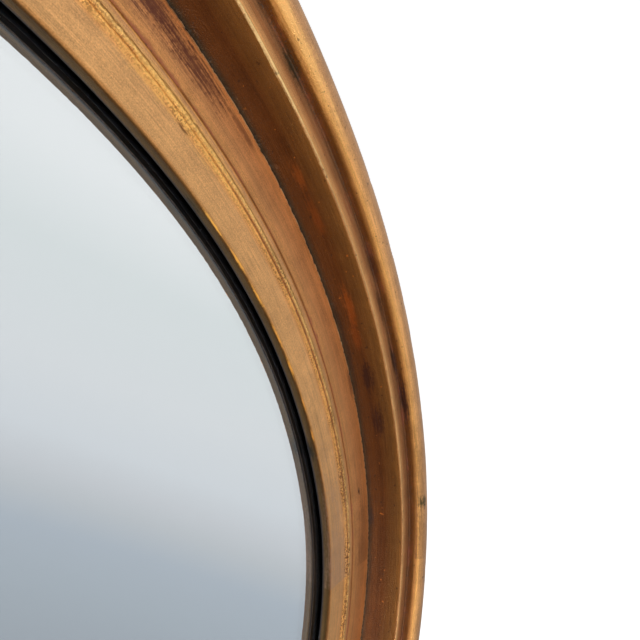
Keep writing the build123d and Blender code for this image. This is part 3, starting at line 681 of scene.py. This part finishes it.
# Mirror glass: 5 mm float glass, silvered behind and painted grey over the silver.
mirror_glass, tree, shader = new_material("mirror glass")
here = add(tree, "ShaderNodeTexCoord").outputs["Object"]
waver = add(tree, "ShaderNodeTexNoise", {"Vector": here, "Scale": 6.0, "Detail": 1.0}).outputs[0]
mote = add(tree, "ShaderNodeTexNoise", {"Vector": here, "Scale": 650.0, "Detail": 1.0}).outputs[0]
tint = blended(tree, waver, (0.968, 0.972, 0.978, 1), (0.974, 0.978, 0.982, 1))
joined(tree, shader, tint, eased(tree, mote, 0.80, 0.86, 0.0, 0.25), None, waver, 0.00002, 0.1)
shader.inputs["Transmission Weight"].default_value = 1.0
shader.inputs["IOR"].default_value = 1.52
dress("mirror_glass", mirror_glass)

silvering, tree, shader = new_material("silvering")
here = add(tree, "ShaderNodeTexCoord").outputs
facing = add(tree, "ShaderNodeSeparateXYZ", {0: here["Normal"]}).outputs[1]
painted = eased(tree, facing, -0.6, -0.2)
brushed = add(tree, "ShaderNodeTexNoise",
              {"Vector": here["Object"], "Scale": 160.0, "Detail": 4.0}).outputs[0]
paint_film = blended(tree, brushed, paint(104, 108, 112), paint(128, 130, 132))
joined(tree, shader, blended(tree, painted, (0.93, 0.93, 0.935, 1), paint_film),
       sum_of(tree, "MULTIPLY", painted, 0.6), sum_of(tree, "SUBTRACT", 1.0, painted),
       sum_of(tree, "MULTIPLY", brushed, painted), 0.00005, 0.4)
dress("silver_coat", silvering)

# Packing and back: plain brown card behind the silvering, and a hardboard panel, mesh side out.
brown_card, tree, shader = new_material("brown card")
here = add(tree, "ShaderNodeTexCoord").outputs["Object"]
pulp = add(tree, "ShaderNodeTexNoise",
           {"Vector": here, "Scale": 380.0, "Detail": 6.0, "Roughness": 0.7}).outputs[0]
joined(tree, shader, blended(tree, pulp, paint(150, 118, 82), paint(188, 156, 116)),
       eased(tree, pulp, 0.3, 0.7, 0.75, 0.9), None, pulp, 0.0001, 0.5)
dress("card_packing", brown_card)

hardboard, tree, shader = new_material("hardboard")
here = add(tree, "ShaderNodeTexCoord").outputs["Object"]
place = add(tree, "ShaderNodeSeparateXYZ", {0: here}).outputs
press = sum_of(tree, "MULTIPLY", sum_of(tree, "SINE", sum_of(tree, "MULTIPLY", place[0], 4200.0)),
               sum_of(tree, "SINE", sum_of(tree, "MULTIPLY", place[2], 4200.0)))
chips = add(tree, "ShaderNodeTexNoise",
            {"Vector": here, "Scale": 260.0, "Detail": 7.0, "Roughness": 0.75}).outputs[0]
worn = add(tree, "ShaderNodeTexNoise", {"Vector": here, "Scale": 9.0, "Detail": 4.0}).outputs[0]
board = blended(tree, chips, paint(82, 54, 34), paint(134, 94, 62))
board = blended(tree, eased(tree, worn, 0.4, 0.7, 0.0, 0.45), board, paint(70, 48, 32))
joined(tree, shader, board, eased(tree, chips, 0.3, 0.7, 0.6, 0.85), None,
       sum_of(tree, "ADD", sum_of(tree, "MULTIPLY", press, 0.5), chips), 0.0003, 0.8)
dress("backing_board", hardboard)

# Fittings: zinc-plated strap hangers, rings and turn buttons, and their dulled screws.
plating, given, result = new_group("dulled plating", [
    ("Bright", "Color", (0.6, 0.6, 0.6, 1)), ("Dull", "Color", (0.4, 0.4, 0.4, 1)),
    ("Spot", "Color", (0.2, 0.1, 0.05, 1))],
    [("Colour", "Color"), ("Roughness", "Float"), ("Height", "Float")])
here = add(plating, "ShaderNodeTexCoord").outputs["Object"]
bloom = add(plating, "ShaderNodeTexNoise", {"Vector": here, "Scale": 320.0, "Detail": 5.0}).outputs[0]
long_here = add(plating, "ShaderNodeVectorMath", {0: here, 1: (2600, 2600, 160)},
                operation="MULTIPLY").outputs[0]
scratch = add(plating, "ShaderNodeTexNoise", {"Vector": long_here, "Scale": 1.0, "Detail": 2.0}).outputs[0]
rust = eased(plating,
             add(plating, "ShaderNodeTexNoise", {"Vector": here, "Scale": 540.0, "Detail": 3.0}).outputs[0],
             0.66, 0.74)
metal = blended(plating, eased(plating, bloom, 0.35, 0.65), given["Bright"], given["Dull"])
plating.links.new(blended(plating, sum_of(plating, "MULTIPLY", rust, 0.6), metal, given["Spot"]),
                  result["Colour"])
plating.links.new(sum_of(plating, "ADD", eased(plating, bloom, 0.3, 0.7, 0.3, 0.5),
                         sum_of(plating, "MULTIPLY", rust, 0.25)), result["Roughness"])
plating.links.new(sum_of(plating, "ADD", scratch, sum_of(plating, "MULTIPLY", rust, 0.6)), result["Height"])

zinc, tree, shader = new_material("zinc plate")
look = add(tree, "ShaderNodeGroup", {"Bright": paint(196, 196, 192), "Dull": paint(158, 158, 152),
                                     "Spot": paint(118, 84, 58)}, node_tree=plating).outputs
joined(tree, shader, look["Colour"], look["Roughness"], None, look["Height"], 0.00004, 0.5)
shader.inputs["Metallic"].default_value = 0.9
screw_steel, tree, shader = new_material("screw steel")
look = add(tree, "ShaderNodeGroup", {"Bright": paint(190, 178, 150), "Dull": paint(140, 126, 100),
                                     "Spot": paint(96, 62, 40)}, node_tree=plating).outputs
joined(tree, shader, look["Colour"], look["Roughness"], None, look["Height"], 0.00004, 0.5)
shader.inputs["Metallic"].default_value = 0.9
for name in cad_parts:
    if name.startswith(("turn_button_", "hanger_", "liner_screws")):
        dress(name, screw_steel if name.endswith("screws") else zinc)

# Wall pads: four discs of pressed grey felt, glued behind, which keep the fittings off the wall.
def felt_pads(headings, inset, radius, thickness, soft):
    """Discs as a function of a turn and a way from the middle of the front face over the rim to the
    middle of the back: the radius and level follow that way, with a rounded rim that dips at random."""
    way = np.linspace(0, 1, 40)
    turn = np.linspace(0, 2 * np.pi, 96, endpoint=False)
    outline = np.vstack([straight((0.0002, thickness), (radius, thickness)),
                         straight((radius, thickness), (radius, 0.0)),
                         straight((radius, 0.0), (0.0002, 0.0)), [(0.0002, 0.0)]])
    length = np.append(0, np.cumsum(np.hypot(*np.diff(outline, axis=0).T)))
    at = way * length[-1]
    r, y = (np.interp(at, length, outline[:, k]) for k in (0, 1))
    lift = np.clip(1 - (radius - r) / soft, 0, 1) ** 2 * soft * 0.5
    y = np.where(y < soft, y + lift * (y < 1e-6), y)
    rough = np.random.default_rng(41).random((len(headings), len(turn), len(way)))
    points, faces, rows, columns = [], [], len(turn), len(way)
    i, j = np.meshgrid(np.arange(rows), np.arange(columns - 1), indexing="ij")
    for n, heading in enumerate(headings):
        x, z = on_oval(np.array(heading), inset)
        side = np.clip(r / radius, 0, 1) ** 6
        reach = r[None] - 0.00025 * side[None] * rough[n]
        grid = np.stack([x + reach * np.cos(turn)[:, None], -np.broadcast_to(y, reach.shape),
                         z + reach * np.sin(turn)[:, None]], -1).reshape(-1, 3)
        start = n * (rows * columns)
        points.append(grid)
        after = (i + 1) % rows
        faces.append(start + np.stack([i * columns + j, after * columns + j, after * columns + j + 1,
                                       i * columns + j + 1], -1).reshape(-1, 4))
        for column, order in ((0, -1), (columns - 1, 1)):
            faces.append([(start + np.arange(rows) * columns + column)[::order].tolist()])
    mesh = bpy.data.meshes.new("felt_pads")
    mesh.from_pydata(np.concatenate(points).tolist(), [], [list(f) for part in faces for f in part])
    mesh.polygons.foreach_set("use_smooth", [True] * len(mesh.polygons))
    mesh.validate()
    piece = bpy.data.objects.new("felt_pads", mesh)
    bpy.context.scene.collection.objects.link(piece)
    return piece


pads = felt_pads((60.0, 120.0, 240.0, 300.0), 0.022, 0.006, 0.006, 0.0006)
grey_felt, tree, shader = new_material("grey felt")
here = add(tree, "ShaderNodeTexCoord").outputs["Object"]
wool = add(tree, "ShaderNodeTexNoise",
           {"Vector": here, "Scale": 1900.0, "Detail": 6.0, "Roughness": 0.75}).outputs[0]
joined(tree, shader, blended(tree, wool, paint(84, 82, 80), paint(140, 137, 132)),
       eased(tree, wool, 0.3, 0.7, 0.85, 0.98), None, wool, 0.0004, 1.0)
shader.inputs["Sheen Weight"].default_value = 0.2
pads.data.materials.append(grey_felt)
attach(pads, "mirror")
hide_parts("wall_pads")

# Stage: a plain pale floor well below the mirror, white surroundings and one soft lamp, up to the left
# behind the camera. The floor clips to white where nothing shades it. Polished things see a pale room
# instead, brighter to the right and darker to the left and below.
bpy.ops.mesh.primitive_plane_add(size=60, location=(0, 0, -0.78))
floor = bpy.context.object
floor.name = "floor"
floor_paint, tree, shader = new_material("floor paint")
shader.inputs["Base Color"].default_value = (0.86, 0.86, 0.86, 1)
shader.inputs["Roughness"].default_value = 0.9
shader.inputs["Specular IOR Level"].default_value = 0.1
shader.inputs["Emission Color"].default_value = (1, 1, 1, 1)
tree.links.new(sum_of(tree, "MULTIPLY", add(tree, "ShaderNodeLightPath").outputs["Is Camera Ray"], 0.5),
               shader.inputs["Emission Strength"])
floor.data.materials.append(floor_paint)
floor.visible_glossy = floor.visible_transmission = False

world = bpy.data.worlds.new("room")
world.use_nodes = True
bpy.context.scene.world = world
tree = world.node_tree
direction = add(tree, "ShaderNodeSeparateXYZ",
                {0: add(tree, "ShaderNodeTexCoord").outputs["Generated"]}).outputs
slant = sum_of(tree, "ADD", direction[0], sum_of(tree, "MULTIPLY", direction[2], 0.35))
room = colour_bands(tree, sum_of(tree, "ADD", sum_of(tree, "MULTIPLY", slant, 0.45), 0.5), [
    (0.5 + 0.45 * at, paint(*tone)) for at, tone in (
        (-1.1, (120, 122, 126)), (-0.5, (150, 156, 162)), (-0.25, (174, 184, 192)), (-0.175, (180, 190, 199)),
        (-0.12, (196, 202, 206)), (-0.08, (206, 211, 215)), (-0.02, (217, 223, 227)), (0.1, (224, 229, 231)),
        (0.3, (225, 232, 232)), (0.45, (240, 244, 244)), (0.8, (246, 248, 248)))])
ray = add(tree, "ShaderNodeLightPath").outputs
polished = sum_of(tree, "MAXIMUM", ray["Is Glossy Ray"], ray["Is Transmission Ray"])
seen = blended(tree, polished, (0.6, 0.6, 0.6, 1), room)
seen = blended(tree, ray["Is Camera Ray"], seen, (1, 1, 1, 1))
tree.links.new(seen, tree.nodes["Background"].inputs[0])

lamp_size, lamp_power, lamp_place = 0.25, 5.4, (-0.35, -0.45, 0.35)
lamp = bpy.data.lights.new("soft lamp", "AREA")
lamp.shape, lamp.size, lamp.energy = "DISK", lamp_size, lamp_power
lamp_object = bpy.data.objects.new("soft lamp", lamp)
bpy.context.scene.collection.objects.link(lamp_object)
lamp_object.location = lamp_place
lamp_object.rotation_mode = "QUATERNION"
lamp_object.rotation_quaternion = (Vector((0.1, 0, 0)) - lamp_object.location).to_track_quat("-Z", "Y")

# Camera: close to the glass, as the photograph was taken, looking down to the lower right of the oval.
camera_place = (0.0489774, -0.1803504, 0.1085047)
yaw, pitch, roll = radians(45.6743288), radians(-35.69118755), radians(-25.42344442)
camera = bpy.data.objects.new("camera", bpy.data.cameras.new("camera"))
bpy.context.scene.collection.objects.link(camera)
camera.data.lens, camera.data.sensor_width = 27.0038, 36.0
camera.data.clip_start, camera.data.clip_end = 0.01, 200.0
ahead = Vector((cos(pitch) * sin(yaw), cos(pitch) * cos(yaw), sin(pitch)))
level_right = Vector((cos(yaw), -sin(yaw), 0))
level_up = level_right.cross(ahead)
right = cos(roll) * level_right + sin(roll) * level_up
upward = cos(roll) * level_up - sin(roll) * level_right
camera.matrix_world = Matrix((
    (right.x, upward.x, -ahead.x, camera_place[0]), (right.y, upward.y, -ahead.y, camera_place[1]),
    (right.z, upward.z, -ahead.z, camera_place[2]), (0, 0, 0, 1)))
bpy.context.scene.camera = camera
bpy.context.scene.view_settings.view_transform = "Standard"
